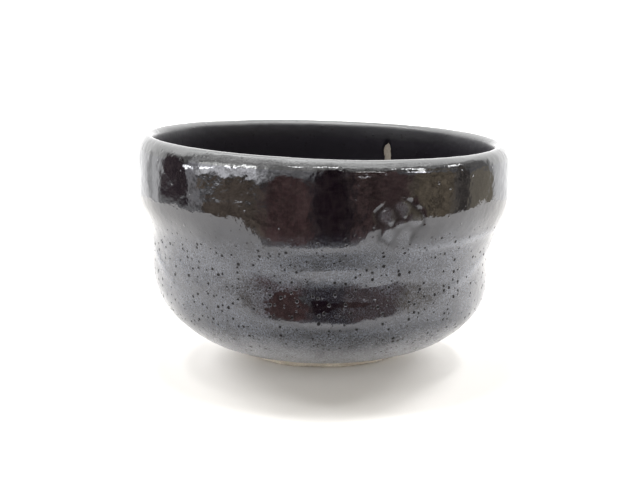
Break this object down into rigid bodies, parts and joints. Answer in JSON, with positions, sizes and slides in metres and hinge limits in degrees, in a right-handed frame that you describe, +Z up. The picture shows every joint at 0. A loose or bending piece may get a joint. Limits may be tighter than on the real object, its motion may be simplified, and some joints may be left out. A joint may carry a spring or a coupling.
{
  "type": "matcha bowl",
  "caption": "Hand-formed black-glazed tea bowl with a rounded lip, a pressed-in waist and a low foot ring, for whisking and drinking powdered tea.",
  "frame": {"origin": "centre of the bowl's box at the height of the surface the foot ring stands on", "axes": "+Z up out of the bowl's mouth, -Y towards the front with the small stamp, +X to the right seen from the front"},
  "size_m": [0.124, 0.1239, 0.0742],
  "materials": {
    "clay": "matte",
    "outer_glaze": "glossy",
    "lip_glaze": "glossy",
    "inner_glaze": "glossy"
  },
  "bodies": {
    "root": {"clay_bowl": "clay", "foot_ring": "clay", "outer_glaze": "outer_glaze", "lip_glaze": "lip_glaze", "inner_glaze": "inner_glaze"}
  },
  "joints": []
}
